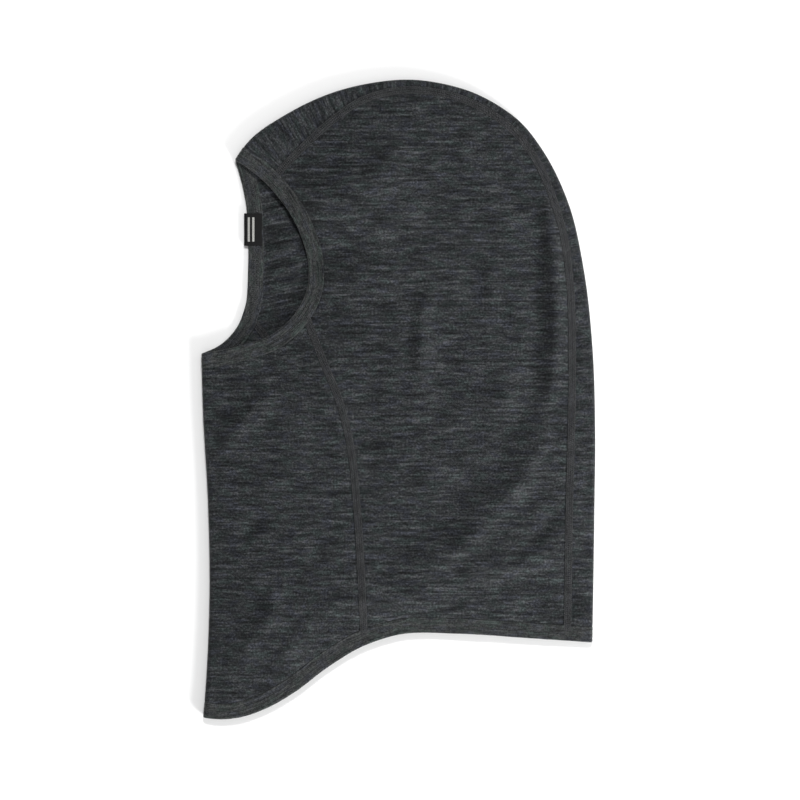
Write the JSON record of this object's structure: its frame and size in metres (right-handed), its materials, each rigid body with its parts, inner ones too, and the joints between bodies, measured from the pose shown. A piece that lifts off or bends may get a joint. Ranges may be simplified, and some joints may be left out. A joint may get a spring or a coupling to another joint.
{
  "type": "balaclava",
  "caption": "Soft knitted balaclava laid flat on its side, with a crown strip, side panels, a front bib, flatlock seams, banded face opening and curved hem.",
  "frame": {"origin": "centre of the laid-flat outline, on the surface that the right half lies on", "axes": "+X towards the back of the head, +Y towards the crown, +Z from the wearer's right side to the left side"},
  "size_m": [0.2438, 0.3959, 0.0147],
  "materials": {
    "heather_jersey": "charcoal heather wool jersey, matt and slightly hairy",
    "edge_binding": "plain charcoal stretch binding, matt",
    "grey_thread": "grey textured polyester thread, soft sheen",
    "black_woven_tape": "black woven label tape, slight sheen"
  },
  "bodies": {
    "root": {"side_panel_left": "heather_jersey", "side_panel_right": "heather_jersey", "crown_strip": "heather_jersey", "bib_panel": "heather_jersey", "crown_seam_left": "grey_thread", "crown_seam_right": "grey_thread", "bib_seam_left": "grey_thread", "bib_seam_right": "grey_thread", "face_binding": "edge_binding", "face_coverstitch": "grey_thread", "hem_binding": "edge_binding", "hem_coverstitch": "grey_thread", "edge_label": "black_woven_tape"}
  },
  "joints": []
}
